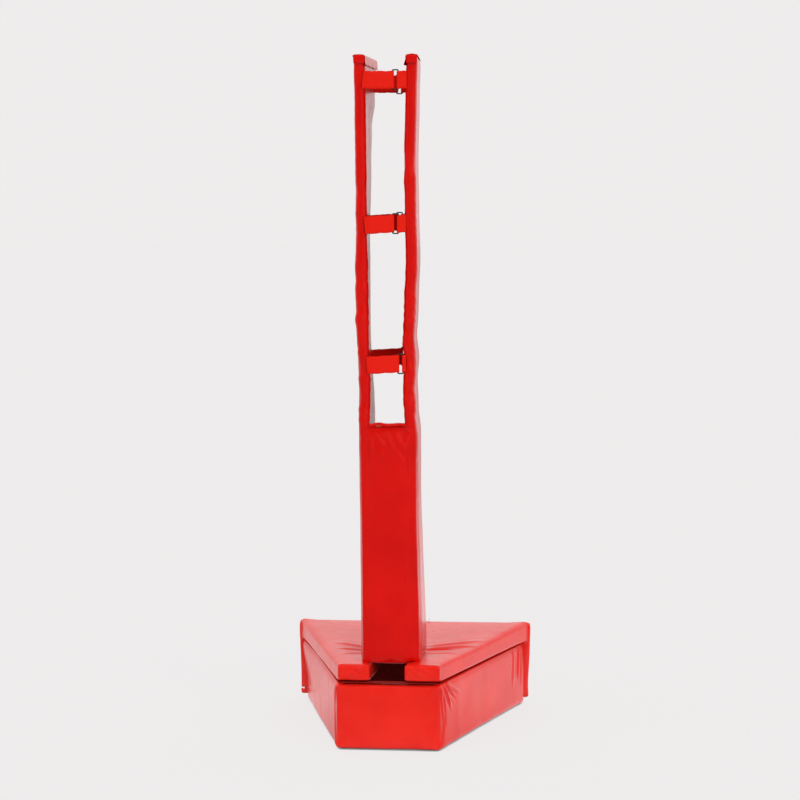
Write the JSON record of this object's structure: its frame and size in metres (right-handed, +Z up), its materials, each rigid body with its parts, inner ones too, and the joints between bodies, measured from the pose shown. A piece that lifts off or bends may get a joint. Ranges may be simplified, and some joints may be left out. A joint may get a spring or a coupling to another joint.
{
  "type": "volleyball post padding",
  "caption": "Red vinyl foam padding for a free-standing volleyball post: a tall U-shaped post pad closed by ring straps, on a box-shaped base pad with a slot for the post.",
  "frame": {"origin": "on the floor, at the middle of the base pad's outline", "axes": "+Z up, +X to the right seen from the front, +Y to the back"},
  "size_m": [0.74, 0.68, 2],
  "materials": {
    "post_vinyl": "satin",
    "base_vinyl": "satin",
    "foam": "matte",
    "webbing": "matte",
    "hook_and_loop": "matte",
    "wire": "gloss",
    "label": "matte"
  },
  "bodies": {
    "base_front": {"front_skirt_cover": "base_vinyl", "front_skirt_foam": "foam", "front_skirt_loop_tape": "hook_and_loop"},
    "left_skirt": {"left_skirt_cover": "base_vinyl", "left_skirt_foam": "foam", "left_skirt_loop_tape": "hook_and_loop"},
    "right_skirt": {"right_skirt_cover": "base_vinyl", "right_skirt_foam": "foam", "right_skirt_loop_tape": "hook_and_loop"},
    "top_pad": {"top_pad_cover": "base_vinyl", "top_pad_foam": "foam", "top_pad_hook_tapes": "hook_and_loop", "top_pad_label": "label"},
    "rear_flap": {"rear_flap_cover": "base_vinyl", "rear_flap_foam": "foam", "rear_flap_label": "label"},
    "post_pad": {"front_panel_cover": "post_vinyl", "front_panel_foam": "foam", "left_wing_cover": "post_vinyl", "left_wing_foam": "foam", "right_wing_cover": "post_vinyl", "right_wing_foam": "foam", "strap_loop_tapes": "hook_and_loop", "front_low_strap": "webbing", "front_low_ring_tab": "webbing", "front_mid_strap": "webbing", "front_mid_ring_tab": "webbing", "front_top_strap": "webbing", "front_top_ring_tab": "webbing", "rear_low_strap": "webbing", "rear_low_ring_tab": "webbing", "rear_mid_strap": "webbing", "rear_mid_ring_tab": "webbing", "rear_top_strap": "webbing", "rear_top_ring_tab": "webbing"},
    "left_wing_closure": {"left_wing_closure": "post_vinyl"},
    "right_wing_closure": {"right_wing_closure": "post_vinyl"},
    "front_panel_closure": {"front_panel_closure": "post_vinyl"},
    "front_low_ring": {"front_low_ring": "wire"},
    "front_low_tail": {"front_low_tail": "webbing", "front_low_hook_tape": "hook_and_loop"},
    "front_mid_ring": {"front_mid_ring": "wire"},
    "front_mid_tail": {"front_mid_tail": "webbing", "front_mid_hook_tape": "hook_and_loop"},
    "front_top_ring": {"front_top_ring": "wire"},
    "front_top_tail": {"front_top_tail": "webbing", "front_top_hook_tape": "hook_and_loop"},
    "rear_low_ring": {"rear_low_ring": "wire"},
    "rear_low_tail": {"rear_low_tail": "webbing", "rear_low_hook_tape": "hook_and_loop"},
    "rear_mid_ring": {"rear_mid_ring": "wire"},
    "rear_mid_tail": {"rear_mid_tail": "webbing", "rear_mid_hook_tape": "hook_and_loop"},
    "rear_top_ring": {"rear_top_ring": "wire"},
    "rear_top_tail": {"rear_top_tail": "webbing", "rear_top_hook_tape": "hook_and_loop"}
  },
  "joints": [
    {"name": "top_pad_lift", "type": "slide", "parent": "base_front", "child": "top_pad", "axis": [0, 0, 1], "range_m": [0, 0.3]},
    {"name": "post_pad_lift", "type": "slide", "parent": "top_pad", "child": "post_pad", "axis": [0, 0, 1], "range_m": [0, 0.35]},
    {"name": "left_skirt_unfold", "type": "hinge", "parent": "base_front", "child": "left_skirt", "pos_m": [-0.15, -0.3095, 0], "axis": [0, 0, 1], "range_deg": [0, 72]},
    {"name": "right_skirt_unfold", "type": "hinge", "parent": "base_front", "child": "right_skirt", "pos_m": [0.15, -0.3095, 0], "axis": [0, 0, -1], "range_deg": [0, 72]},
    {"name": "rear_flap_fold", "type": "hinge", "parent": "top_pad", "child": "rear_flap", "pos_m": [0, 0.3275, 0.187], "axis": [1, 0, 0], "range_deg": [0, 90]},
    {"name": "left_closure_open", "type": "hinge", "parent": "post_pad", "child": "left_wing_closure", "pos_m": [-0.10099, -0.15548, 1.998], "axis": [0.0785, -0.9969, 0], "range_deg": [0, 110]},
    {"name": "right_closure_open", "type": "hinge", "parent": "post_pad", "child": "right_wing_closure", "pos_m": [0.07745, -0.14144, 1.998], "axis": [-0.0785, 0.9969, 0], "range_deg": [0, 110]},
    {"name": "panel_closure_open", "type": "hinge", "parent": "post_pad", "child": "front_panel_closure", "pos_m": [0, -0.298, 0.9455], "axis": [0.9969, 0.0785, 0], "range_deg": [0, 110]},
    {"name": "front_low_ring_swing", "type": "hinge", "parent": "post_pad", "child": "front_low_ring", "pos_m": [0.0451, -0.28643, 1.12], "axis": [0, 0, 1], "range_deg": [0, 20]},
    {"name": "front_low_tail_peel", "type": "hinge", "parent": "front_low_ring", "child": "front_low_tail", "pos_m": [0.02775, -0.28779, 1.12], "axis": [0, 0, 1], "range_deg": [0, 120]},
    {"name": "front_mid_ring_swing", "type": "hinge", "parent": "post_pad", "child": "front_mid_ring", "pos_m": [0.0338, -0.28731, 1.521], "axis": [0, 0, 1], "range_deg": [0, 20]},
    {"name": "front_mid_tail_peel", "type": "hinge", "parent": "front_mid_ring", "child": "front_mid_tail", "pos_m": [0.01645, -0.28868, 1.521], "axis": [0, 0, 1], "range_deg": [0, 120]},
    {"name": "front_top_ring_swing", "type": "hinge", "parent": "post_pad", "child": "front_top_ring", "pos_m": [0.03649, -0.2871, 1.928], "axis": [0, 0, 1], "range_deg": [0, 20]},
    {"name": "front_top_tail_peel", "type": "hinge", "parent": "front_top_ring", "child": "front_top_tail", "pos_m": [0.01915, -0.28847, 1.928], "axis": [0, 0, 1], "range_deg": [0, 120]},
    {"name": "rear_low_ring_swing", "type": "hinge", "parent": "post_pad", "child": "rear_low_ring", "pos_m": [0.02281, -0.0033, 1.12], "axis": [0, 0, -1], "range_deg": [0, 20]},
    {"name": "rear_low_tail_peel", "type": "hinge", "parent": "rear_low_ring", "child": "rear_low_tail", "pos_m": [0.00547, -0.00467, 1.12], "axis": [0, 0, -1], "range_deg": [0, 120]},
    {"name": "rear_mid_ring_swing", "type": "hinge", "parent": "post_pad", "child": "rear_mid_ring", "pos_m": [0.01151, -0.00419, 1.521], "axis": [0, 0, -1], "range_deg": [0, 20]},
    {"name": "rear_mid_tail_peel", "type": "hinge", "parent": "rear_mid_ring", "child": "rear_mid_tail", "pos_m": [-0.00583, -0.00556, 1.521], "axis": [0, 0, -1], "range_deg": [0, 120]},
    {"name": "rear_top_ring_swing", "type": "hinge", "parent": "post_pad", "child": "rear_top_ring", "pos_m": [0.01421, -0.00398, 1.928], "axis": [0, 0, -1], "range_deg": [0, 20]},
    {"name": "rear_top_tail_peel", "type": "hinge", "parent": "rear_top_ring", "child": "rear_top_tail", "pos_m": [-0.00313, -0.00534, 1.928], "axis": [0, 0, -1], "range_deg": [0, 120]}
  ]
}
